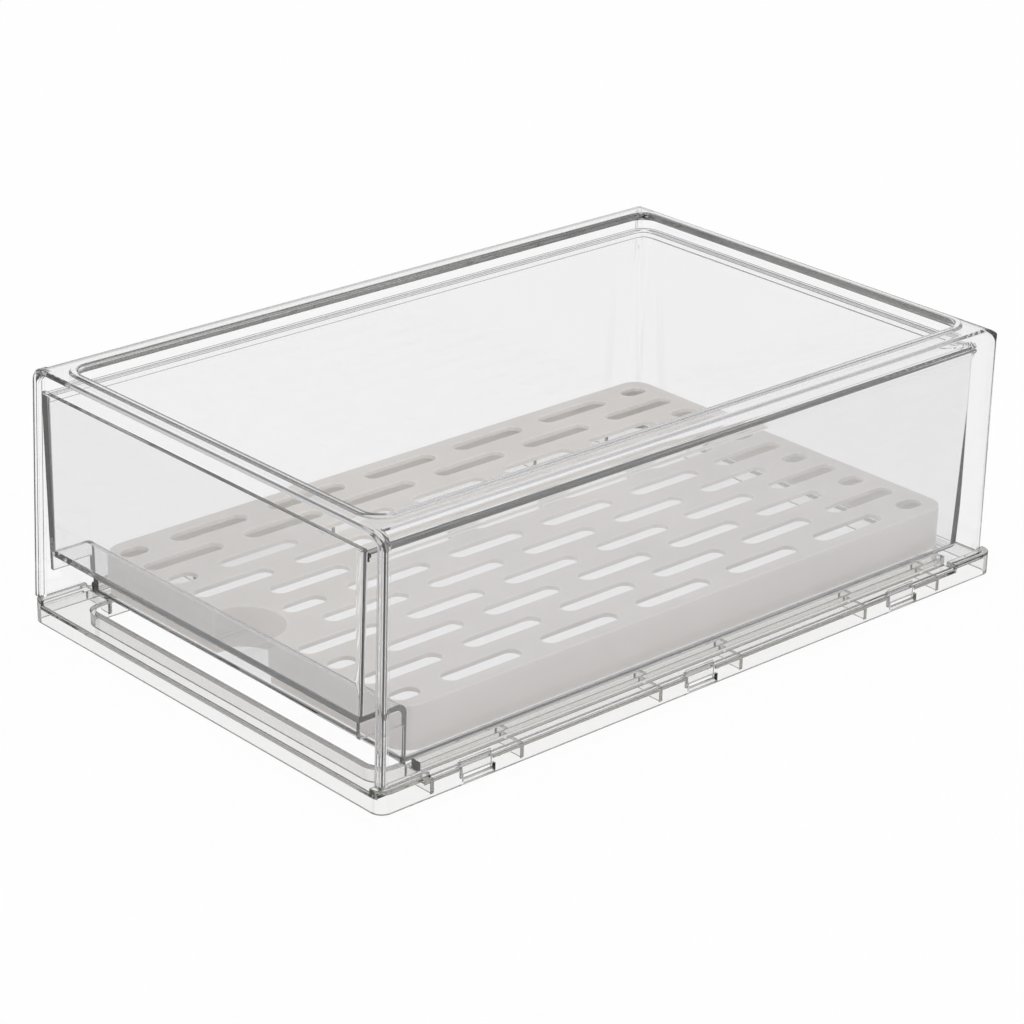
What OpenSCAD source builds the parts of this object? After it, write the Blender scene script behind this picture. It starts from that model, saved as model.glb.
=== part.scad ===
// Fridge drawer organizer: a clear housing on a base frame, a clear pull-out drawer, and a slotted
// drain plate that stands in the drawer. Millimetres, +Z up, front towards -Y, origin at the centre
// of the footprint on the surface that it stands on.

/* [Housing] */
// Height of the housing's top plate above the surface
housing_height = 104; // [98:1:120]
// Thickness of the housing's walls
housing_wall = 2.3; // [1.8:0.1:2.6]
// Thickness of the housing's top plate
top_plate = 2.3; // [1.8:0.1:3]
// Lean of the housing's sides, in degrees from upright
side_lean = 0.77; // [0:0.01:1.2]
// Lean of the housing's front and back, in degrees from upright
end_lean = 1.3; // [0:0.05:1.6]
// Radius of the housing's long top edges
top_edge_radius = 5.5; // [3:0.5:8]
// Radius of the housing's upright back corners
back_corner_radius = 10; // [6:1:14]
// Length of the thickened band round the housing's open front
band_length = 3.2; // [2:0.1:5]
// How far the front band stands out from the wall
band_out = 0.8; // [0.3:0.1:1.1]
// How far the front band stands in from the wall
band_in = 1.2; // [0.5:0.1:2]
// Radius of the front band's inner corners
band_inner_radius = 4; // [2:0.5:6]

/* [Top opening] */
// Distance from the housing's side to the top opening, at the top
opening_side_margin = 12.7; // [11:0.1:13.2]
// Depth of the beam between the front edge and the top opening
opening_front_margin = 8; // [6:0.5:12]
// Distance from the housing's back to the top opening, at the top
opening_back_margin = 9.3; // [8:0.1:9.6]
// Radius of the top opening's corners
opening_radius = 7; // [4:0.5:8]
// Width of the raised rim round the top opening
rim_width = 3; // [2:0.1:4]
// Height of the raised rim above the top plate
rim_height = 1; // [0.6:0.1:2]

/* [Base frame] */
// Width of the base frame
base_width = 208; // [180:1:230]
// Length of the base frame
base_length = 320; // [300:1:360]
// Height of the base frame's top plate
base_height = 7.5; // [6.5:0.1:7.8]
// Thickness of the base frame's walls and top plate
base_wall = 2; // [1.5:0.1:2.4]
// Radius of the base frame's upright corners
base_corner_radius = 5; // [3:0.5:6]
// Ledge outside the housing's wall, on the base frame's sides
base_ledge_side = 1.2; // [0.8:0.1:1.3]
// Ledge outside the housing's wall, at the base frame's front and back
base_ledge_end = 0.8; // [0.5:0.1:1.5]
// Width of the base frame's side members
side_member = 18; // [17:0.5:19]
// Depth of the base frame's front and back members
end_member = 14; // [12:0.5:20]
// Radius of the base frame's opening
base_opening_radius = 6; // [3:0.5:10]
// Length of the raised blocks at the base frame's corners
block_length = 23; // [15:1:28]
// Width of the raised corner blocks
block_width = 6; // [5:0.5:8]
// Height of the raised corner blocks
block_height = 9.5; // [8.5:0.1:12]
// Width of the runners that the drawer slides on
runner_width = 3; // [2:0.5:3.5]
// Width of the guide rails beside the drawer
guide_width = 5; // [3:0.5:5.5]
// Height of the guide rails above the surface
guide_height = 11.5; // [10.5:0.5:13]
// Spacing of the snap tabs along each side
tab_pitch = 110.7; // [90:0.1:120]
// Place of the front pair of snap tabs, from the front
tab_first = 45.5; // [40:0.5:60]
// Length of a snap tab
tab_length = 14; // [8:0.5:18]
// Thickness of a snap tab
tab_thick = 1.8; // [1.2:0.1:2]
// Height of the catch on a snap tab
catch_height = 2.4; // [1.5:0.1:3]
// Thickness of the ribs that stiffen the base frame's side members
rib_thick = 1.5; // [1:0.1:2]
// Distance from a snap tab to the rib on either side of it
rib_offset = 21; // [14:0.5:25]

/* [Drawer] */
// Distance from the base frame's side to the drawer's body, level with the ledge
drawer_inset = 12; // [11.8:0.1:14]
// Thickness of the drawer's walls and floor
drawer_wall = 2; // [1.5:0.1:2.5]
// Lean of the drawer's sides, in degrees from upright
drawer_side_lean = 1.45; // [0:0.05:1.6]
// Lean of the drawer's back, in degrees from upright
drawer_back_lean = 1.86; // [0:0.05:2.5]
// Distance from the base frame's front to the drawer's front panel
front_setback = 1; // [0.5:0.1:1.5]
// Height of the front panel's top edge above the surface
panel_height = 96.8; // [92:0.1:97.5]
// How far the drawer's side rims lie below the front panel's top edge
rim_drop = 1.4; // [1:0.1:3]
// How far the drawer's rim stands out from its walls
flange_out = 1.8; // [1:0.1:2.4]
// Thickness of the drawer's rim
flange_thick = 1.6; // [1.2:0.1:2.5]
// How far the bead below the drawer's rim stands out
bead_out = 0.9; // [0.4:0.1:1]
// Height of the bead below the drawer's rim
bead_height = 1.9; // [1:0.1:3]
// Height of the ledge behind the front panel above the surface
ledge_height = 33; // [31:0.5:45]
// Depth of the hand space below the ledge
hand_space = 19; // [12:0.5:24]
// Length that the drawer's sides reach down beside the hand space
cheek_drop = 8; // [4:0.5:12]
// Radius of the ledge's back edge
ledge_radius = 4.5; // [3:0.5:6]
// Radius of the drawer's upright back corners
drawer_corner_radius = 7; // [5:0.5:9]
// Radius of the drawer's bottom edges
drawer_bottom_radius = 3; // [2.6:0.1:4]

/* [Drain plate] */
// Height of the drain plate's top above the surface
plate_top = 29; // [26:0.5:30.5]
// Thickness of the drain plate and its skirt
plate_wall = 2; // [1.5:0.1:2.5]
// Radius of the drain plate's corners
plate_corner_radius = 8; // [3:0.5:10]
// Gap between the drain plate and the drawer's sides
plate_side_gap = 1.5; // [1.1:0.1:3]
// Gap between the drain plate and the drawer's back
plate_back_gap = 2.4; // [1.5:0.1:5]
// Radius of the finger scoop in the drain plate's front edge
scoop_radius = 16; // [12:0.5:18]
// Distance from the drain plate's front edge to its first slots
slot_margin = 2; // [1:0.5:6]
// Distance from the last slots to the drain plate's back edge
slot_back_margin = 5.6; // [3:0.1:12]
// Distance from the drain plate's side to the middle of its outermost slots
row_margin = 9.95; // [8:0.05:16]
// Width of a drain slot
slot_width = 7.5; // [4:0.5:9]
// Length of the bridge between two slots of a row
slot_bridge = 11.8; // [9:0.1:18]
// Length of the short slots at the ends of every second row
short_slot_length = 12; // [9:0.5:14]
// Length of the front slot of the middle row, behind the finger scoop
scoop_slot_length = 19; // [16:0.5:20]
// Number of slots in a full row
slots_in_row = 6; // [3:1:6]
// Number of slot rows on each side of the middle one
rows_each_side = 5; // [2:1:5]

/* [Clearances] */
// Gap between pieces that slide or stand on each other
slide_gap = 0.3; // [0.2:0.05:0.5]
// Gap between the drawer's rim and the housing's back wall
back_gap = 0.4; // [0.3:0.1:2]
// Gap between the drawer's sides and the guide rails
guide_gap = 0.6; // [0.4:0.1:1]
// Gap between the housing and the base frame where they join
join_gap = 0.1; // [0.05:0.05:0.2]
// Gap round a snap tab in its slot and its window
tab_gap = 0.3; // [0.2:0.05:0.5]

/* [Hidden] */
$fn = 64;
past = 1;
clear_colour = [0.90, 0.93, 0.94, 0.45];
edge_colour = [0.80, 0.85, 0.87, 0.55];
plate_colour = [0.93, 0.92, 0.90];

front = -base_length / 2;
back = base_length / 2;
base_half = base_width / 2;
opening_half = base_half - side_member;

// Housing: half widths and ends at its foot, and what the lean takes off towards the top.
housing_foot = base_height + join_gap;
lean_rise = housing_height - housing_foot;
foot_half = base_half - base_ledge_side;
top_half = foot_half - lean_rise * tan(side_lean);
foot_front = front + base_ledge_end;
foot_back = back - base_ledge_end;
top_front = foot_front + lean_rise * tan(end_lean);
top_back = foot_back - lean_rise * tan(end_lean);
top_inside = housing_height - top_plate;
inner_corner_radius = back_corner_radius - housing_wall;
opening_x = top_half - opening_side_margin;
opening_front = top_front + opening_front_margin;
opening_back = top_back - opening_back_margin;

// Drawer: its floor stands on the runners, and its back stops short of the housing's back wall.
runner_height = base_height + 1.2;
drawer_floor = runner_height + slide_gap;
floor_top = drawer_floor + drawer_wall;
rim_top = panel_height - rim_drop;
drawer_front = front + front_setback;
drop_front = drawer_front + hand_space;
inner_back_at_rim = foot_back - (rim_top - housing_foot) * tan(end_lean) - housing_wall;
flange_back = inner_back_at_rim - back_gap;
drawer_back_at_rim = flange_back - flange_out;
drawer_width = base_width - 2 * drawer_inset;
guide_inner = drawer_half(guide_height) + guide_gap;

// Drain plate: it stands on the drawer's floor, inside the drawer's walls.
plate_foot = floor_top + slide_gap;
plate_half = drawer_half(plate_foot) - drawer_wall - plate_side_gap;
plate_front = drop_front + drawer_wall + slide_gap + 0.7;
plate_back = drawer_back(plate_foot) - drawer_wall - plate_back_gap;

// Drain slots: the full rows fill the plate's length, and the rows fill its width.
slots_front = plate_front + slot_margin;
slots_back = plate_back - slot_back_margin;
slot_pitch = (slots_back - slots_front + slot_bridge) / slots_in_row;
slot_length = slot_pitch - slot_bridge;
row_pitch = (plate_half - row_margin) / rows_each_side;

// Half width of the drawer's outside at a height.
function drawer_half(z) = drawer_width / 2 + (z - ledge_height) * tan(drawer_side_lean);

// Place of the drawer's back wall, outside, at a height.
function drawer_back(z) = drawer_back_at_rim - (rim_top - z) * tan(drawer_back_lean);

// Distances from the front to each pair of snap tabs.
function tab_places() = [for (i = [0:2]) front + tab_first + i * tab_pitch];

// A convex outline with each corner rounded to its own radius. A radius of 0 leaves it sharp.
function unit(v) = v / norm(v);
function half_turn(a, b) = sqrt((1 - a * b) / (1 + a * b));
function corner(p, i) =
    let (n = len(p), a = unit(p[(i + n - 1) % n] - p[i]), b = unit(p[(i + 1) % n] - p[i]))
    [a, b, half_turn(a, b)];

module outline(points, radii) {
    polygon([
        for (i = [0:len(points) - 1])
            let (c = corner(points, i), reach = radii[i] / c[2])
            each radii[i] == 0 ? [points[i]] : [points[i] + c[0] * reach, points[i] + c[1] * reach]
    ]);
    for (i = [0:len(points) - 1])
        if (radii[i] > 0) {
            c = corner(points, i);
            away = radii[i] * sqrt(1 + 1 / (c[2] * c[2]));
            translate(points[i] + unit(c[0] + c[1]) * away) circle(radii[i]);
        }
}

// A plan outline, mirrored left and right, with one radius in front and one behind.
module plan(half, y0, y1, front_radius, back_radius) {
    outline(
        [[-half, y0], [half, y0], [half, y1], [-half, y1]],
        [front_radius, front_radius, back_radius, back_radius]
    );
}

// The same plan outline from one height to another.
module slab(half, y0, y1, z0, z1, front_radius, back_radius) {
    translate([0, 0, z0])
        linear_extrude(z1 - z0)
        plan(half, y0, y1, front_radius, back_radius);
}

// Extrudes an outline drawn as seen from the front (x, z), from one y to another.
module along_length(y0, y1) {
    translate([0, y1, 0])
        rotate([90, 0, 0])
        linear_extrude(y1 - y0)
        children();
}

// Extrudes an outline drawn as seen from the side (y, z), over a width.
module across_width(half) {
    translate([-half, 0, 0])
        rotate([90, 0, 90])
        linear_extrude(2 * half)
        children();
}

// Both sides of the object: what is drawn at +x, and its mirror image.
module both_sides() {
    children();
    mirror([1, 0, 0]) children();
}

// The housing's arch as seen from the front, set in from its outside by a distance.
module arch(set_in, top, foot, radius) {
    drop = (top_half - foot_half) / lean_rise;
    half_top = top_half - set_in + (top - housing_height) * drop;
    half_foot = top_half - set_in + (foot - housing_height) * drop;
    outline(
        [[-half_foot, foot], [half_foot, foot], [half_top, top], [-half_top, top]],
        [0, 0, radius, radius]
    );
}

// The housing's side view, with leaning ends, set in from its back by a distance.
module side_view(front_extra, set_in, top, foot, radius) {
    lean = tan(end_lean);
    fall = housing_height - foot;
    sink = housing_height - top;
    outline(
        [
            [top_front - fall * lean - front_extra, foot],
            [top_back + fall * lean - set_in, foot],
            [top_back + sink * lean - set_in, top],
            [top_front - sink * lean - front_extra, top]
        ],
        [0, 0, radius, 0]
    );
}

module housing_shell() {
    far = base_length;
    difference() {
        intersection() {
            along_length(front - past, back + past)
                arch(0, housing_height, housing_foot, top_edge_radius);
            across_width(base_half)
                side_view(0, 0, housing_height, housing_foot, top_edge_radius);
            slab(foot_half, foot_front - past, foot_back, 0, housing_height + past,
                0, back_corner_radius);
        }
        intersection() {
            along_length(front - far, back + past)
                arch(housing_wall, top_inside, housing_foot - past, top_edge_radius - top_plate);
            across_width(base_half)
                side_view(far, housing_wall, top_inside, housing_foot - past,
                    top_edge_radius - top_plate);
            slab(foot_half - housing_wall / 2, foot_front - far, foot_back - housing_wall,
                0, housing_height, 0, inner_corner_radius);
        }
    }
}

// The thickened band round the open front.
module front_band() {
    intersection() {
        along_length(front - past, foot_front + lean_rise * tan(end_lean) + band_length)
            difference() {
                arch(-band_out, housing_height, housing_foot, top_edge_radius);
                arch(housing_wall + band_in, top_inside, housing_foot - past, band_inner_radius);
            }
        across_width(base_half)
            side_view(0, 0, housing_height, housing_foot, 0);
        across_width(base_half)
            translate([foot_front, 0])
            polygon([
                [-past, housing_foot],
                [band_length, housing_foot],
                [band_length + lean_rise * tan(end_lean), housing_height],
                [-past, housing_height]
            ]);
    }
}

// A snap tab at the housing's right side: it goes down through the base frame's top plate, and its
// catch stands in a window of the base frame's outer wall.
module snap_tab(y) {
    outer = base_half - base_wall - tab_gap;
    catch_z = base_wall / 2 + tab_gap;
    translate([outer - tab_thick, y - tab_length / 2, catch_z])
        cube([tab_thick, tab_length, housing_foot + past - catch_z]);
    translate([outer - tab_thick / 2, y - tab_length / 2, catch_z])
        cube([tab_thick / 2 + tab_gap + base_wall / 2, tab_length, catch_height]);
}

module housing() {
    color(clear_colour)
    difference() {
        union() {
            housing_shell();
            front_band();
            slab(opening_x + rim_width, opening_front - rim_width, opening_back + rim_width,
                top_inside + past, housing_height + rim_height,
                opening_radius + rim_width, opening_radius + rim_width);
            both_sides() for (y = tab_places()) snap_tab(y);
        }
        slab(opening_x, opening_front, opening_back, top_inside - past,
            housing_height + rim_height + past, opening_radius, opening_radius);
        // Room for the base frame's corner blocks, under the ends of the sides.
        both_sides()
            for (y = [front - past, back - block_length - join_gap])
                translate([base_half - block_width - join_gap, y, housing_foot - past])
                cube([
                    block_width + 2 * past,
                    block_length + join_gap + past,
                    block_height + join_gap - housing_foot + past
                ]);
    }
}

// The base frame's ring with its opening, from one height to another, set in from its faces.
module ring(set_in, z0, z1) {
    difference() {
        slab(base_half - set_in, front + set_in, back - set_in, z0, z1,
            base_corner_radius - set_in, base_corner_radius - set_in);
        slab(opening_half + set_in, front + end_member - set_in, back - end_member + set_in,
            z0 - past, z1 + past,
            base_opening_radius + set_in, base_opening_radius + set_in);
    }
}

// A raised block at each corner, under the housing's sides.
module corner_blocks(set_in, z0, z1) {
    intersection() {
        slab(base_half - set_in, front + set_in, back - set_in, z0, z1,
            base_corner_radius - set_in, base_corner_radius - set_in);
        both_sides()
            for (y = [front, back - block_length])
                translate([base_half - block_width + set_in, y + set_in, z0])
                cube([block_width, block_length - 2 * set_in, z1 - z0]);
    }
}

// A straight bar along the right side, from the inner x, over a width and a height.
module side_bar(x, bar_width, z0, z1) {
    translate([x, front + block_length, z0])
        cube([bar_width, base_length - 2 * block_length, z1 - z0]);
}

module base_frame() {
    outer_inside = base_half - base_wall;
    color(edge_colour)
    difference() {
        union() {
            difference() {
                ring(0, 0, base_height);
                ring(base_wall, -past, base_height - base_wall);
            }
            corner_blocks(0, base_height - base_wall, block_height);
            both_sides() {
                side_bar(opening_half, runner_width, base_height - past, runner_height);
                side_bar(guide_inner, guide_width, base_height - past, guide_height);
                for (y = tab_places(), end = [-1, 1])
                    translate([opening_half + past, y + end * rib_offset - rib_thick / 2, past])
                    cube([side_member - 2 * past, rib_thick, base_height - 2 * past]);
            }
        }
        corner_blocks(base_wall, -past, block_height - base_wall);
        both_sides()
            for (y = tab_places()) {
                // Slot in the top plate for the tab.
                translate([
                    outer_inside - tab_thick - 2 * tab_gap,
                    y - tab_length / 2 - tab_gap,
                    base_height - base_wall - past
                ])
                    cube([
                        tab_thick + 2 * tab_gap,
                        tab_length + 2 * tab_gap,
                        base_wall + 2 * past
                    ]);
                // Window in the outer wall for the tab's catch.
                translate([outer_inside - past, y - tab_length / 2 - tab_gap, base_wall / 2])
                    cube([
                        base_wall + 2 * past,
                        tab_length + 2 * tab_gap,
                        catch_height + 2 * tab_gap
                    ]);
            }
    }
}

// The drawer's front view: leaning sides with rounded bottom edges, set in from its outside.
module drawer_front_view(set_in, z0, z1, radius) {
    outline(
        [
            [-drawer_half(z0) + set_in, z0],
            [drawer_half(z0) - set_in, z0],
            [drawer_half(z1) - set_in, z1],
            [-drawer_half(z1) + set_in, z1]
        ],
        [radius, radius, 0, 0]
    );
}

// The drawer's side view: its leaning back and rounded bottom edge, set in from its outside.
module drawer_side_view(y0, set_in, z0, z1, front_radius, radius) {
    outline(
        [
            [y0, z0],
            [drawer_back(z0) - set_in, z0],
            [drawer_back(z1) - set_in, z1],
            [y0, z1]
        ],
        [front_radius, radius, 0, 0]
    );
}

// The quarter outside a round corner: a square less a circle, at the square's corner (y, z).
module corner_waste(y, z, radius, turn_y, turn_z) {
    difference() {
        translate([min(y, y + turn_y * radius), min(z, z + turn_z * radius)])
            square(radius);
        translate([y + turn_y * radius, z + turn_z * radius])
            circle(radius);
    }
}

// The drawer's outside: walls up to the rim, the front panel a little higher, the hand space
// taken out below the ledge.
module drawer_outside() {
    inner_radius = ledge_radius - drawer_wall;
    difference() {
        intersection() {
            along_length(drawer_front - past, back)
                drawer_front_view(0, drawer_floor, panel_height, drawer_bottom_radius);
            across_width(base_half)
                union() {
                    drawer_side_view(drawer_front, 0, drawer_floor, rim_top, 0,
                        drawer_bottom_radius);
                    translate([drawer_front, rim_top - past])
                        square([drawer_wall, rim_drop + past]);
                }
            slab(base_half, drawer_front, drawer_back_at_rim, 0, panel_height + past,
                0, 0);
            slab(drawer_half(panel_height), drawer_front, drawer_back_at_rim,
                0, panel_height + past, 0, drawer_corner_radius);
        }
        // Hand space between the cheeks, with a rounded inner corner and the floor's front edge.
        intersection() {
            across_width(base_half)
                difference() {
                    union() {
                        translate([drawer_front - past, drawer_floor - past])
                            square([
                                hand_space + past,
                                ledge_height - drawer_wall - drawer_floor + past
                            ]);
                        corner_waste(drop_front, drawer_floor, drawer_bottom_radius, 1, 1);
                    }
                    corner_waste(drop_front, ledge_height - drawer_wall, inner_radius, -1, -1);
                }
            along_length(drawer_front - past, back)
                drawer_front_view(drawer_wall, drawer_floor - past, ledge_height, 0);
        }
        // Below the cheeks the hand space runs the full width.
        translate([-base_half, drawer_front - past, drawer_floor - past])
            cube([
                base_width,
                hand_space + past,
                ledge_height - cheek_drop - drawer_floor + past
            ]);
    }
}

module drawer_cavity() {
    inner_top = panel_height + past;
    inner_bottom_radius = drawer_bottom_radius - drawer_wall;
    intersection() {
        along_length(drawer_front, back)
            drawer_front_view(drawer_wall, floor_top, inner_top, inner_bottom_radius);
        across_width(base_half)
            union() {
                drawer_side_view(drop_front + drawer_wall, drawer_wall, floor_top, inner_top,
                    inner_bottom_radius, inner_bottom_radius);
                translate([drawer_front + drawer_wall, ledge_height])
                    square([hand_space + drawer_wall, inner_top - ledge_height]);
                corner_waste(drop_front + drawer_wall, ledge_height, ledge_radius, -1, -1);
            }
        slab(drawer_half(inner_top), drawer_front + drawer_wall,
            drawer_back_at_rim - drawer_wall + past * tan(drawer_back_lean),
            0, inner_top + past, drawer_corner_radius - drawer_wall,
            drawer_corner_radius - drawer_wall);
    }
}

// The drawer's rim and the bead below it, along its sides and back.
module drawer_rim(out, z0, z1) {
    slab(drawer_half(rim_top) + out, drawer_front + drawer_wall, drawer_back_at_rim + out, z0, z1,
        0, drawer_corner_radius + out);
}

module drawer() {
    color(clear_colour)
    difference() {
        union() {
            drawer_outside();
            drawer_rim(flange_out, rim_top - flange_thick, rim_top);
            drawer_rim(bead_out, rim_top - flange_thick - bead_height, rim_top - flange_thick);
        }
        drawer_cavity();
    }
}

// One slot with round ends, along the length.
module slot(x, y, len) {
    straight = len - slot_width;
    translate([x, y]) {
        square([slot_width, straight], center = true);
        for (end = [-1, 1])
            translate([0, end * straight / 2]) circle(slot_width / 2);
    }
}

// A row of full slots. The middle row's front slot is cut short behind the finger scoop.
module full_row(x) {
    for (i = [0:slots_in_row - 1]) {
        slot_end = slots_front + i * slot_pitch + slot_length;
        len = i == 0 && x == 0 ? scoop_slot_length : slot_length;
        slot(x, slot_end - len / 2, len);
    }
}

// A row half a pitch further on, with a short slot at each end, but none beside the finger scoop.
module offset_row(x) {
    for (i = [0:slots_in_row - 2])
        slot(x, slots_front + (i + 0.5) * slot_pitch + slot_length / 2, slot_length);
    slot(x, slots_back - short_slot_length / 2, short_slot_length);
    if (abs(x) > scoop_radius + slot_width / 2)
        slot(x, slots_front + short_slot_length / 2, short_slot_length);
}

module drain_plate() {
    color(plate_colour)
    difference() {
        union() {
            difference() {
                slab(plate_half, plate_front, plate_back, plate_foot, plate_top,
                    plate_corner_radius, plate_corner_radius);
                slab(plate_half - plate_wall, plate_front + plate_wall, plate_back - plate_wall,
                    plate_foot - past, plate_top - plate_wall,
                    plate_corner_radius - plate_wall, plate_corner_radius - plate_wall);
            }
            intersection() {
                translate([0, plate_front, plate_foot])
                    cylinder(h = plate_top - plate_foot, r = scoop_radius + plate_wall);
                slab(plate_half, plate_front, plate_back, plate_foot, plate_top, 0, 0);
            }
        }
        translate([0, plate_front, plate_foot - past])
            cylinder(h = plate_top - plate_foot + 2 * past, r = scoop_radius);
        translate([0, 0, plate_top - plate_wall - past])
            linear_extrude(plate_wall + 2 * past)
            for (i = [-rows_each_side:rows_each_side])
                if (i % 2 == 0)
                    full_row(i * row_pitch);
                else
                    offset_row(i * row_pitch);
    }
}

housing();
base_frame();
drawer();
drain_plate();
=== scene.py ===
"""Fridge drawer organizer: a clear housing on a base frame, a clear pull-out drawer and a slotted
drain plate.

Metres, +Z up, the front towards -Y, the origin on the surface that it stands on, under its middle.
"""

import math

import bmesh
import bpy
import numpy as np
from mathutils import Matrix, Vector
from mathutils.bvhtree import BVHTree


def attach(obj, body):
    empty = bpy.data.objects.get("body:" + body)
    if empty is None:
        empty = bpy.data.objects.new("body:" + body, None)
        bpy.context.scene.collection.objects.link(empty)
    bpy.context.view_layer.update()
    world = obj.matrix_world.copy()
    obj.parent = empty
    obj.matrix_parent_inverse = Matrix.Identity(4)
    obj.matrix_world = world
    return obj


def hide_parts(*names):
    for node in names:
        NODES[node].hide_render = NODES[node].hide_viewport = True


bl_info = {
    "name": "Fridge Drawer Organizer",
    "version": (1, 0, 0),
    "blender": (4, 5, 0),
    "location": "View3D > Sidebar > Organizer",
    "description": "Dresses the solids of a clear fridge drawer organizer, in a plain studio",
    "category": "Add Mesh",
}

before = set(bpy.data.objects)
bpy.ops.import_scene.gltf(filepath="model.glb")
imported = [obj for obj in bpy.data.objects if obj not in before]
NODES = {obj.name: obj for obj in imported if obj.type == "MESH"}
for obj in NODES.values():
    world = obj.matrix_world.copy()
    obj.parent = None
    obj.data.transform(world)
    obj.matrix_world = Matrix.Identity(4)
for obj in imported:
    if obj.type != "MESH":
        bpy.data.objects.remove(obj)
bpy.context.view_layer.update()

MM = 0.001

# Points nearer than this are one point.
SAME_POINT = 0.005 * MM
# Two flat faces that meet at less than ONE_PLANE lie in one plane, and at more than SHARP they
# form an edge.
ONE_PLANE = math.radians(0.3)
SHARP = math.radians(28)
# Steps across a rounding, on a piece with one radius and on a piece with several.
EVEN_STEPS = 3
MIXED_STEPS = 4
# A point further off the solid's skin than this share of the widest radius was thrown off it.
THROWN_OFF = 0.35
# Cosine of about 75 degrees, the most that a corner's normal may lean away from its face's.
MOST_LEAN = 0.25
# Areas are weighed in square millimetres, and nothing is divided by less than TINY.
SQUARE_MM_PER_SQUARE_M = 1e6
TINY = 1e-12

# The edges on top of the housing's rim are above this height.
RIM_ABOVE = 104.9 * MM
# The outer edges of the housing's front band are in front of this place and above this height.
BAND_BEFORE = -155.9 * MM
BAND_ABOVE = 9.0 * MM
# The edges on top of the drawer's front panel are above this height.
PANEL_ABOVE = 96.7 * MM

# Noise in the plastics and the paper: how many waves go into a metre, about.
FLOW_WAVES = 34.0
HAZE_WAVES = 55.0
CLOUD_WAVES = 28.0
GRAIN_WAVES = 2200.0
FIBRE_WAVES = 400.0
# The ripples of the mould's flow are drawn out along Y.
FLOW_STRETCH = (1.0, 0.35, 1.0)
# The drain plate's colour goes from the first to the second of these shares, and its roughness
# up and down by UNEVEN_GLOSS.
CLOUD_SHADES = (0.965, 1.03)
UNEVEN_GLOSS = 0.05
GRAIN_STRENGTH = 0.35
# Red goes furthest in the milky plastic.
GLOW_REACH = (1.0, 0.95, 0.9)
PAPER_ROUGHNESS = (0.85, 1.0)

WHITE = (1, 1, 1)
# The mirrored room falls from grey to dark between these: for the sky by the Y part of the
# direction, and for the floor, where this grey and dark are painted shade, by the place along Y
# in metres.
SKY_FALL = (0.1, -0.30)
FLOOR_SHADE_FALL = (-0.12, -0.20)
FLOOR_REACH = 3.0
FLOOR_LEVEL = -0.5 * MM

SENSOR_WIDTH = 36.0
NEAREST = 0.05
FURTHEST = 20.0
# Light may turn this often in the clear pieces, and this often at matt surfaces.
CLEAR_TURNS = 256
MATT_TURNS = 3

# Sockets of a Mix node for colours.
FIRST_COLOUR = 6
SECOND_COLOUR = 7
MIXED_COLOUR = 2


# ---------------------------------------------------------------- shader nodes


def add_node(tree, kind, inputs=None, **settings):
    """A node of a tree with its settings, and its input values by name or number."""
    made = tree.nodes.new(kind)
    for name, value in settings.items():
        setattr(made, name, value)
    for name, value in (inputs or {}).items():
        made.inputs[name].default_value = value
    return made


def join(tree, source, target, output=0, socket=0):
    """Joins an output of one node to an input of another, both by name or number."""
    tree.links.new(source.outputs[output], target.inputs[socket])
    return target


def highest(tree, source, *outputs):
    """The highest of several outputs of a node."""
    last, socket = source, outputs[0]
    for name in outputs[1:]:
        pair = add_node(tree, "ShaderNodeMath", operation="MAXIMUM")
        join(tree, last, pair, socket, 0)
        join(tree, source, pair, name, 1)
        last, socket = pair, 0
    return last


def new_material(name):
    """A material with one Principled shader: gives the material, its tree, the shader and the
    output."""
    material = bpy.data.materials.new(name)
    material.use_nodes = True
    tree = material.node_tree
    tree.nodes.clear()
    out = add_node(tree, "ShaderNodeOutputMaterial")
    shader = add_node(tree, "ShaderNodeBsdfPrincipled")
    join(tree, shader, out, "BSDF", "Surface")
    return material, tree, shader, out


def noise(tree, place, output, waves, detail, **inputs):
    """Cloudy noise over an output of a node that gives a place."""
    texture = add_node(
        tree, "ShaderNodeTexNoise", {"Scale": waves, "Detail": detail, **inputs}
    )
    return join(tree, place, texture, output, "Vector")


def spread(tree, texture, low, high):
    """The middle half of a texture's values, spread from a low to a high value."""
    band = add_node(
        tree,
        "ShaderNodeMapRange",
        {"From Min": 0.25, "From Max": 0.75, "To Min": low, "To Max": high},
    )
    return join(tree, texture, band, "Fac", "Value")


def raise_surface(tree, shader, texture, strength, height):
    """Raises and sinks the surface of a shader by a texture."""
    bump = add_node(tree, "ShaderNodeBump", {"Strength": strength, "Distance": height})
    join(tree, texture, bump, "Fac", "Height")
    join(tree, bump, shader, "Normal", "Normal")


def mix_colours(tree, share, output, first, second=WHITE):
    """A mix of two colours by an output of a node: the first at zero and the second at one."""
    mix = add_node(
        tree,
        "ShaderNodeMix",
        {FIRST_COLOUR: (*first, 1), SECOND_COLOUR: (*second, 1)},
        data_type="RGBA",
    )
    return join(tree, share, mix, output, "Factor")


def mix_shaders(tree, share, first, second, out):
    """Gives an output a mix of two shaders: the first at zero and the second at one."""
    mix = add_node(tree, "ShaderNodeMixShader")
    for socket, source in enumerate((share, first, second)):
        join(tree, source, mix, 0, socket)
    join(tree, mix, out, 0, "Surface")


# ---------------------------------------------------------------- materials


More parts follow.
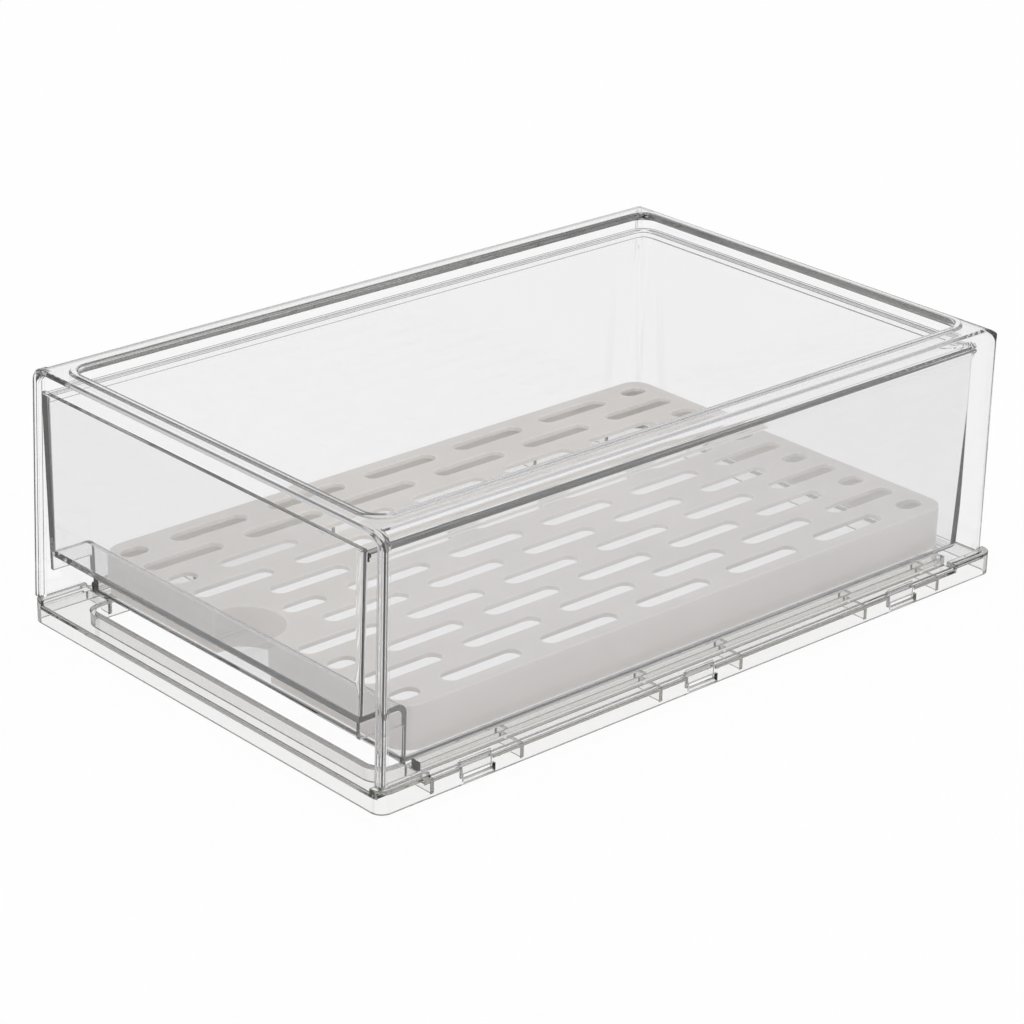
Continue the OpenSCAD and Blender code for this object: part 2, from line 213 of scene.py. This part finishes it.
def clear_plastic(name, finish, tint, depth):
    """Clear moulded plastic: it bends and mirrors light, greys it slowly along its way, and its
    faces carry the soft ripples of the mould's flow and a breath of haze."""
    material, tree, shader, out = new_material(name)
    shader.inputs["Base Color"].default_value = (*finish.face, 1)
    shader.inputs["Transmission Weight"].default_value = 1.0
    shader.inputs["IOR"].default_value = finish.bending
    body = add_node(tree, "ShaderNodeVolumeAbsorption", {"Color": (*tint, 1), "Density": depth})
    join(tree, body, out, "Volume", "Volume")
    place = add_node(tree, "ShaderNodeTexCoord")
    flow = add_node(tree, "ShaderNodeMapping", {"Scale": FLOW_STRETCH})
    join(tree, place, flow, "Object", "Vector")
    ripple = noise(tree, flow, "Vector", FLOW_WAVES, 2.0, Roughness=0.4)
    raise_surface(tree, shader, ripple, 1.0, finish.ripple)
    haze = noise(tree, place, "Object", HAZE_WAVES, 4.0)
    join(tree, spread(tree, haze, 0.0, finish.haze), shader, "Result", "Roughness")
    return material


def drain_plastic(name, finish):
    """Off-white satin plastic with a fine grain, a faint clouding of its colour and uneven
    gloss."""
    material, tree, shader, _ = new_material(name)
    place = add_node(tree, "ShaderNodeTexCoord")
    cloud = noise(tree, place, "Object", CLOUD_WAVES, 3.0)
    shades = [[min(1.0, share * part) for part in finish.colour] for share in CLOUD_SHADES]
    colour = mix_colours(tree, spread(tree, cloud, 0.0, 1.0), "Result", *shades)
    join(tree, colour, shader, MIXED_COLOUR, "Base Color")
    shader.inputs["Subsurface Weight"].default_value = finish.glow
    shader.inputs["Subsurface Radius"].default_value = GLOW_REACH
    shader.inputs["Subsurface Scale"].default_value = finish.glow_depth
    grain = noise(tree, place, "Object", GRAIN_WAVES, 2.0)
    raise_surface(tree, shader, grain, GRAIN_STRENGTH, finish.grain)
    least, most = finish.roughness - UNEVEN_GLOSS, finish.roughness + UNEVEN_GLOSS
    join(tree, spread(tree, cloud, least, most), shader, "Result", "Roughness")
    return material


# ---------------------------------------------------------------- dressing the solids


def area_normals(mesh):
    """Normals of a mesh's points: the sum of the normals of the faces round each point, each
    times the square of its face's area, so that a large flat face stays flat up to its rounded
    edge."""
    count = len(mesh.polygons)
    area = np.empty(count)
    normal = np.empty(count * 3)
    total = np.empty(count, np.int32)
    point = np.empty(len(mesh.loops), np.int32)
    mesh.polygons.foreach_get("area", area)
    mesh.polygons.foreach_get("normal", normal)
    mesh.polygons.foreach_get("loop_total", total)
    mesh.loops.foreach_get("vertex_index", point)
    face = np.repeat(np.arange(count), total)
    pull = (normal.reshape(-1, 3) * (area * SQUARE_MM_PER_SQUARE_M)[:, None] ** 2)[face]
    out = np.zeros((len(mesh.vertices), 3))
    np.add.at(out, point, pull)
    return out / np.maximum(np.linalg.norm(out, axis=1, keepdims=True), TINY)


def corner_normals(mesh, normals):
    """Normals of a triangle mesh's corners: each takes its point's normal, or its own face's
    normal where the point's leans more than about 75 degrees away from it."""
    face = np.empty(len(mesh.polygons) * 3)
    point = np.empty(len(mesh.loops), np.int32)
    mesh.polygons.foreach_get("normal", face)
    mesh.loops.foreach_get("vertex_index", point)
    face = np.repeat(face.reshape(-1, 3), 3, axis=0)
    smooth = normals[point]
    keeps = np.einsum("ij,ij->i", smooth, face) > MOST_LEAN
    return np.where(keeps[:, None], smooth, face)


def rounded_copy(node, name, radius_of):
    """A merged copy of a solid's mesh: its flat faces are joined, each sharp edge is rounded to
    the radius that radius_of gives for its two ends, and a point that the rounding threw off the
    solid's skin is put back on it."""
    work = bmesh.new()
    work.from_mesh(NODES[node].data)
    bmesh.ops.remove_doubles(work, verts=work.verts, dist=SAME_POINT)
    skin = BVHTree.FromBMesh(work)
    bmesh.ops.dissolve_limit(work, angle_limit=ONE_PLANE, verts=work.verts, edges=work.edges)
    share = work.edges.layers.float.new("bevel_weight_edge")
    sharp = [edge for edge in work.edges if edge.calc_face_angle(0) > SHARP]
    radii = [radius_of(*(vert.co for vert in edge.verts)) for edge in sharp]
    widest = max(radii)
    for edge, radius in zip(sharp, radii):
        edge[share] = radius / widest
    mesh = bpy.data.meshes.new(name)
    work.to_mesh(mesh)
    work.free()

    piece = bpy.data.objects.new(name, mesh)
    bpy.context.scene.collection.objects.link(piece)
    rounding = piece.modifiers.new("rounding", "BEVEL")
    rounding.width = widest
    rounding.segments = EVEN_STEPS if widest == min(radii) else MIXED_STEPS
    rounding.limit_method = "WEIGHT"
    rounding.use_clamp_overlap = False
    bpy.context.view_layer.update()
    seen = piece.evaluated_get(bpy.context.evaluated_depsgraph_get())
    round_mesh = bpy.data.meshes.new_from_object(seen)
    piece.modifiers.remove(rounding)

    normals = area_normals(round_mesh)
    work = bmesh.new()
    work.from_mesh(round_mesh)
    bpy.data.meshes.remove(round_mesh)
    bmesh.ops.triangulate(work, faces=work.faces)
    for vert in work.verts:
        spot, _, _, away = skin.find_nearest(vert.co)
        if away > THROWN_OFF * widest:
            vert.co = spot
    work.to_mesh(mesh)
    work.free()
    mesh.polygons.foreach_set("use_smooth", np.ones(len(mesh.polygons), bool))
    mesh.normals_split_custom_set(corner_normals(mesh, normals).tolist())
    return piece


def dress(node, name, body, radius_of, material):
    """Puts a rounded copy of a solid, in its material, in the solid's place."""
    piece = rounded_copy(node, name, radius_of)
    piece.data.materials.append(material)
    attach(piece, body)
    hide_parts(node)


def housing_radius(rounding):
    """The radius of a housing's edge by its two ends: wide on top of the rim and on the front
    band."""

    def radius(a, b):
        low = min(a.z, b.z)
        if low > RIM_ABOVE:
            return rounding.rim
        if max(a.y, b.y) < BAND_BEFORE and low > BAND_ABOVE:
            return rounding.band
        return rounding.housing

    return radius


def drawer_radius(rounding):
    """The radius of a drawer's edge by its two ends: a little tighter on top of the front
    panel."""

    def radius(a, b):
        return rounding.panel if min(a.z, b.z) > PANEL_ABOVE else rounding.drawer

    return radius


def one_radius(value):
    """The same radius for every edge."""
    return lambda a, b: value


# ---------------------------------------------------------------- settings


class ClearSettings(bpy.types.PropertyGroup):
    """The clear plastic of the housing, the base frame and the drawer"""

    tint: bpy.props.FloatVectorProperty(
        name="Tint",
        description="Colour that light keeps on its way through the housing and the drawer",
        subtype="COLOR", size=3, default=(0.86, 0.86, 0.855), min=0, max=1,
    )
    face: bpy.props.FloatVectorProperty(
        name="Face", description="Colour that a wall's two faces leave to the light",
        subtype="COLOR", size=3, default=(0.990, 0.988, 0.992), min=0, max=1,
    )
    base_tint: bpy.props.FloatVectorProperty(
        name="Base Tint", description="Colour that light keeps on its way through the base frame",
        subtype="COLOR", size=3, default=(0.80, 0.80, 0.77), min=0, max=1,
    )
    depth: bpy.props.FloatProperty(
        name="Depth", description="How fast the housing and the drawer grey light, per metre",
        default=40.0, min=0, max=500,
    )
    base_depth: bpy.props.FloatProperty(
        name="Base Depth", description="How fast the base frame greys light, per metre",
        default=140.0, min=0, max=500,
    )
    bending: bpy.props.FloatProperty(
        name="Bending", description="How strongly the plastic bends light",
        default=1.5, min=1.3, max=1.7,
    )
    haze: bpy.props.FloatProperty(
        name="Haze", description="Highest roughness of the polished faces",
        subtype="FACTOR", default=0.02, min=0, max=1,
    )
    ripple: bpy.props.FloatProperty(
        name="Ripple", description="Height of the soft ripples in the polished faces",
        unit="LENGTH", default=0.03 * MM, min=0, max=1 * MM,
    )


class DrainSettings(bpy.types.PropertyGroup):
    """The off-white plastic of the drain plate"""

    colour: bpy.props.FloatVectorProperty(
        name="Colour", description="Colour of the drain plate",
        subtype="COLOR", size=3, default=(0.64, 0.622, 0.605), min=0, max=1,
    )
    roughness: bpy.props.FloatProperty(
        name="Roughness", description="Roughness of the drain plate",
        subtype="FACTOR", default=0.42, min=0.05, max=0.95,
    )
    grain: bpy.props.FloatProperty(
        name="Grain", description="Height of the fine grain of the drain plate",
        unit="LENGTH", default=0.02 * MM, min=0, max=1 * MM,
    )
    glow: bpy.props.FloatProperty(
        name="Glow", description="Share of the light that goes into the milky plastic",
        subtype="FACTOR", default=0.6, min=0, max=1,
    )
    glow_depth: bpy.props.FloatProperty(
        name="Glow Depth", description="How far light spreads in the milky plastic",
        unit="LENGTH", default=3 * MM, min=0, max=20 * MM,
    )


class RoundingSettings(bpy.types.PropertyGroup):
    """Radii of the moulded edges"""

    housing: bpy.props.FloatProperty(
        name="Housing", description="Radius of the housing's sharp edges",
        unit="LENGTH", default=0.4 * MM, min=0.05 * MM, max=0.6 * MM,
    )
    rim: bpy.props.FloatProperty(
        name="Rim", description="Radius of the edges on top of the housing's rim",
        unit="LENGTH", default=0.95 * MM, min=0.1 * MM, max=1.0 * MM,
    )
    band: bpy.props.FloatProperty(
        name="Front Band", description="Radius of the outer edges of the housing's front band",
        unit="LENGTH", default=1.1 * MM, min=0.1 * MM, max=1.15 * MM,
    )
    panel: bpy.props.FloatProperty(
        name="Panel", description="Radius of the top of the drawer's front panel",
        unit="LENGTH", default=0.3 * MM, min=0.1 * MM, max=1.0 * MM,
    )
    base: bpy.props.FloatProperty(
        name="Base Frame", description="Radius of the base frame's sharp edges",
        unit="LENGTH", default=0.35 * MM, min=0.05 * MM, max=0.5 * MM,
    )
    drawer: bpy.props.FloatProperty(
        name="Drawer", description="Radius of the drawer's sharp edges",
        unit="LENGTH", default=0.4 * MM, min=0.05 * MM, max=0.6 * MM,
    )
    drain: bpy.props.FloatProperty(
        name="Drain Plate", description="Radius of the drain plate's sharp edges",
        unit="LENGTH", default=0.4 * MM, min=0.05 * MM, max=0.6 * MM,
    )


class StageSettings(bpy.types.PropertyGroup):
    """The floor, the light and the camera"""

    paper: bpy.props.FloatVectorProperty(
        name="Paper", description="Colour of the floor",
        subtype="COLOR", size=3, default=(0.9, 0.9, 0.9), min=0, max=1,
    )
    paper_white: bpy.props.FloatProperty(
        name="Whiteness", description="Share of plain white in the floor as it is seen",
        subtype="FACTOR", default=0.92, min=0, max=1,
    )
    # On the floor, as the clear pieces mirror it, this grey is painted shade.
    dim_room: bpy.props.FloatVectorProperty(
        name="Dim Room",
        description="Colour of the room and the floor as the clear pieces mirror them",
        subtype="COLOR", size=3, default=(0.62, 0.62, 0.63), min=0, max=1,
    )
    # On the floor in front of the object, as the clear pieces mirror it, this dark colour is
    # painted shade.
    dark_side: bpy.props.FloatVectorProperty(
        name="Dark Side",
        description="Colour of the room in front of the object, as the clear pieces mirror it",
        subtype="COLOR", size=3, default=(0.05, 0.048, 0.054), min=0, max=1,
    )
    azimuth: bpy.props.FloatProperty(
        name="Azimuth", description="Turn of the camera to the right of the front",
        unit="ROTATION", default=math.radians(47.55),
    )
    elevation: bpy.props.FloatProperty(
        name="Elevation", description="How far the camera looks down",
        unit="ROTATION", default=math.radians(23.43),
    )
    roll: bpy.props.FloatProperty(
        name="Roll", description="Turn of the camera about its own view",
        unit="ROTATION", default=math.radians(1.18),
    )
    place: bpy.props.FloatVectorProperty(
        name="Place", description="Place of the camera",
        subtype="TRANSLATION", unit="LENGTH", size=3, default=(0.8690, -0.8015, 0.5477),
    )
    lens: bpy.props.FloatProperty(
        name="Lens",
        description="Focal length of the camera in millimetres, on a 36 mm wide sensor",
        default=116.49, min=10, max=500,
    )


class OrganizerSettings(bpy.types.PropertyGroup):
    """Everything that a user would change"""

    clear: bpy.props.PointerProperty(type=ClearSettings)
    drain: bpy.props.PointerProperty(type=DrainSettings)
    rounding: bpy.props.PointerProperty(type=RoundingSettings)
    stage: bpy.props.PointerProperty(type=StageSettings)


# ---------------------------------------------------------------- pieces


class ORGANIZER_OT_make_housing(bpy.types.Operator):
    """Make the clear housing with its front band and its raised rim"""

    bl_idname = "organizer.make_housing"
    bl_label = "Make Housing"

    def execute(self, context):
        settings = context.scene.organizer
        clear = settings.clear
        plastic = clear_plastic("clear_housing_plastic", clear, clear.tint, clear.depth)
        radius = housing_radius(settings.rounding)
        dress("housing", "housing_clear", "shell", radius, plastic)
        return {"FINISHED"}


class ORGANIZER_OT_make_base_frame(bpy.types.Operator):
    """Make the clear base frame with its runners, rails, ribs and windows"""

    bl_idname = "organizer.make_base_frame"
    bl_label = "Make Base Frame"

    def execute(self, context):
        settings = context.scene.organizer
        clear = settings.clear
        plastic = clear_plastic("clear_base_plastic", clear, clear.base_tint, clear.base_depth)
        radius = one_radius(settings.rounding.base)
        dress("base_frame", "base_frame_clear", "shell", radius, plastic)
        return {"FINISHED"}


class ORGANIZER_OT_make_drawer(bpy.types.Operator):
    """Make the clear drawer with its front panel, ledge and rim"""

    bl_idname = "organizer.make_drawer"
    bl_label = "Make Drawer"

    def execute(self, context):
        settings = context.scene.organizer
        clear = settings.clear
        plastic = clear_plastic("clear_drawer_plastic", clear, clear.tint, clear.depth)
        radius = drawer_radius(settings.rounding)
        dress("drawer", "drawer_clear", "drawer", radius, plastic)
        return {"FINISHED"}


class ORGANIZER_OT_make_drain_plate(bpy.types.Operator):
    """Make the off-white drain plate with its slots and its finger scoop"""

    bl_idname = "organizer.make_drain_plate"
    bl_label = "Make Drain Plate"

    def execute(self, context):
        settings = context.scene.organizer
        plastic = drain_plastic("drain_white_plastic", settings.drain)
        radius = one_radius(settings.rounding.drain)
        dress("drain_plate", "drain_plate_white", "drain_plate", radius, plastic)
        return {"FINISHED"}


# ---------------------------------------------------------------- stage


def camera_axes(stage):
    """The camera's right, up and backward directions: it stands at an azimuth and an elevation,
    looks at the object, and is rolled about its view."""
    turn, rise, roll = stage.azimuth, stage.elevation, stage.roll
    back = Vector((
        math.sin(turn) * math.cos(rise),
        -math.cos(turn) * math.cos(rise),
        math.sin(rise),
    ))
    level = Vector((math.cos(turn), math.sin(turn), 0))
    above = back.cross(level)
    right = math.cos(roll) * level + math.sin(roll) * above
    up = -math.sin(roll) * level + math.cos(roll) * above
    return right, up, back


def set_camera(scene, stage):
    """The camera at its place, turned to the object."""
    data = bpy.data.cameras.new("camera")
    camera = bpy.data.objects.new("camera", data)
    scene.collection.objects.link(camera)
    data.sensor_width = SENSOR_WIDTH
    data.lens = stage.lens
    data.clip_start = NEAREST
    data.clip_end = FURTHEST
    right, up, back = camera_axes(stage)
    turn = Matrix((right, up, back)).transposed().to_4x4()
    camera.matrix_world = Matrix.Translation(stage.place) @ turn
    scene.camera = camera


def mirrored_path(tree, path):
    """One for a path that has gone through a face of the clear plastic, was mirrored at one, and
    hasn't met a matt surface, otherwise zero."""
    share = None
    for depth, test in (
        ("Glossy Depth", "GREATER_THAN"),
        ("Transmission Depth", "GREATER_THAN"),
        ("Diffuse Depth", "LESS_THAN"),
    ):
        # A depth is a whole number, so a half parts none from some.
        part = add_node(tree, "ShaderNodeMath", {1: 0.5}, operation=test)
        join(tree, path, part, depth, 0)
        if share:
            both = add_node(tree, "ShaderNodeMath", operation="MULTIPLY")
            join(tree, share, both, 0, 0)
            part = join(tree, part, both, 0, 1)
        share = part
    return share


def room_tone(tree, stage, place, output, fall):
    """Colour of the mirrored room: it goes smoothly from grey to dark as a place goes along Y
    from the first to the second value of its fall. On the floor this colour is painted shade."""
    along = add_node(tree, "ShaderNodeSeparateXYZ")
    join(tree, place, along, output, "Vector")
    start, end = fall
    front = add_node(
        tree,
        "ShaderNodeMapRange",
        {"From Min": start, "From Max": end},
        interpolation_type="SMOOTHSTEP",
    )
    join(tree, along, front, "Y", "Value")
    return mix_colours(tree, front, "Result", stage.dim_room, stage.dark_side)


def set_room(scene, stage):
    """White light from everywhere, which is also what a ray sees that goes straight through the
    clear walls. Light mirrored in the clear plastic meets a grey room that is dark in front of
    the object."""
    world = bpy.data.worlds.new("studio_room")
    scene.world = world
    world.use_nodes = True
    tree = world.node_tree
    tree.nodes.clear()
    out = add_node(tree, "ShaderNodeOutputWorld")
    light = add_node(tree, "ShaderNodeBackground", {"Color": (*WHITE, 1), "Strength": 1.0})
    room = add_node(tree, "ShaderNodeBackground", {"Strength": 1.0})
    look = add_node(tree, "ShaderNodeTexCoord")
    join(tree, room_tone(tree, stage, look, "Generated", SKY_FALL), room, MIXED_COLOUR, "Color")
    path = add_node(tree, "ShaderNodeLightPath")
    mix_shaders(tree, mirrored_path(tree, path), light, room, out)


def paper(stage):
    """White paper: it is seen as nearly plain white and keeps a breath of the object's shadow,
    and light mirrored in the clear plastic meets it in the mirrored room's colour, a painted
    shade on the paper that is grey, and dark in front of the object."""
    material, tree, shader, out = new_material("floor_paper")
    shader.inputs["Base Color"].default_value = (*stage.paper, 1)
    shader.inputs["Specular IOR Level"].default_value = 0.0
    place = add_node(tree, "ShaderNodeTexCoord")
    fibre = noise(tree, place, "Object", FIBRE_WAVES, 3.0)
    join(tree, spread(tree, fibre, *PAPER_ROUGHNESS), shader, "Result", "Roughness")
    white = add_node(tree, "ShaderNodeEmission", {"Strength": 1.0})
    path = add_node(tree, "ShaderNodeLightPath")
    # For mirrored light the paper glows with painted shade: grey, and dark towards the front.
    white_or_painted_shade = mix_colours(tree, mirrored_path(tree, path), 0, WHITE)
    room = room_tone(tree, stage, place, "Object", FLOOR_SHADE_FALL)
    join(tree, room, white_or_painted_shade, MIXED_COLOUR, SECOND_COLOUR)
    join(tree, white_or_painted_shade, white, MIXED_COLOUR, "Color")
    seen = highest(tree, path, "Is Camera Ray", "Is Glossy Ray", "Is Transmission Ray")
    share = add_node(tree, "ShaderNodeMath", {1: stage.paper_white}, operation="MULTIPLY")
    mix_shaders(tree, join(tree, seen, share), shader, white, out)
    return material


def set_floor(scene, stage):
    """A square sheet of paper just below the object's foot."""
    corners = np.array([(-1, -1), (1, -1), (1, 1), (-1, 1)]) * FLOOR_REACH
    points = np.column_stack([corners, np.full(4, FLOOR_LEVEL)])
    mesh = bpy.data.meshes.new("floor")
    mesh.from_pydata(points.tolist(), [], [(0, 1, 2, 3)])
    mesh.materials.append(paper(stage))
    floor = bpy.data.objects.new("floor", mesh)
    scene.collection.objects.link(floor)


class ORGANIZER_OT_make_stage(bpy.types.Operator):
    """Make the floor, the light and the camera"""

    bl_idname = "organizer.make_stage"
    bl_label = "Make Stage"

    def execute(self, context):
        scene = context.scene
        stage = scene.organizer.stage
        scene.view_settings.view_transform = "Standard"
        scene.cycles.max_bounces = CLEAR_TURNS
        scene.cycles.transmission_bounces = CLEAR_TURNS
        scene.cycles.glossy_bounces = CLEAR_TURNS
        scene.cycles.diffuse_bounces = MATT_TURNS
        scene.cycles.blur_glossy = 0.0
        scene.cycles.use_denoising = True
        set_room(scene, stage)
        set_floor(scene, stage)
        set_camera(scene, stage)
        return {"FINISHED"}


# ---------------------------------------------------------------- panel and run

STEPS = (
    ORGANIZER_OT_make_housing,
    ORGANIZER_OT_make_base_frame,
    ORGANIZER_OT_make_drawer,
    ORGANIZER_OT_make_drain_plate,
    ORGANIZER_OT_make_stage,
)


class ORGANIZER_PT_panel(bpy.types.Panel):
    """The organizer's steps, in the order in which they are made"""

    bl_idname = "ORGANIZER_PT_panel"
    bl_label = "Fridge Drawer Organizer"
    bl_space_type = "VIEW_3D"
    bl_region_type = "UI"
    bl_category = "Organizer"

    def draw(self, context):
        for step in STEPS:
            self.layout.operator(step.bl_idname)


CLASSES = (
    ClearSettings,
    DrainSettings,
    RoundingSettings,
    StageSettings,
    OrganizerSettings,
    *STEPS,
    ORGANIZER_PT_panel,
)


def register():
    for kind in CLASSES:
        bpy.utils.register_class(kind)
    bpy.types.Scene.organizer = bpy.props.PointerProperty(type=OrganizerSettings)


def unregister():
    del bpy.types.Scene.organizer
    for kind in reversed(CLASSES):
        bpy.utils.unregister_class(kind)


def main():
    """Registers the add-on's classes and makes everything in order."""
    register()
    bpy.ops.organizer.make_housing()
    bpy.ops.organizer.make_base_frame()
    bpy.ops.organizer.make_drawer()
    bpy.ops.organizer.make_drain_plate()
    bpy.ops.organizer.make_stage()


if __name__ == "__main__":
    main()
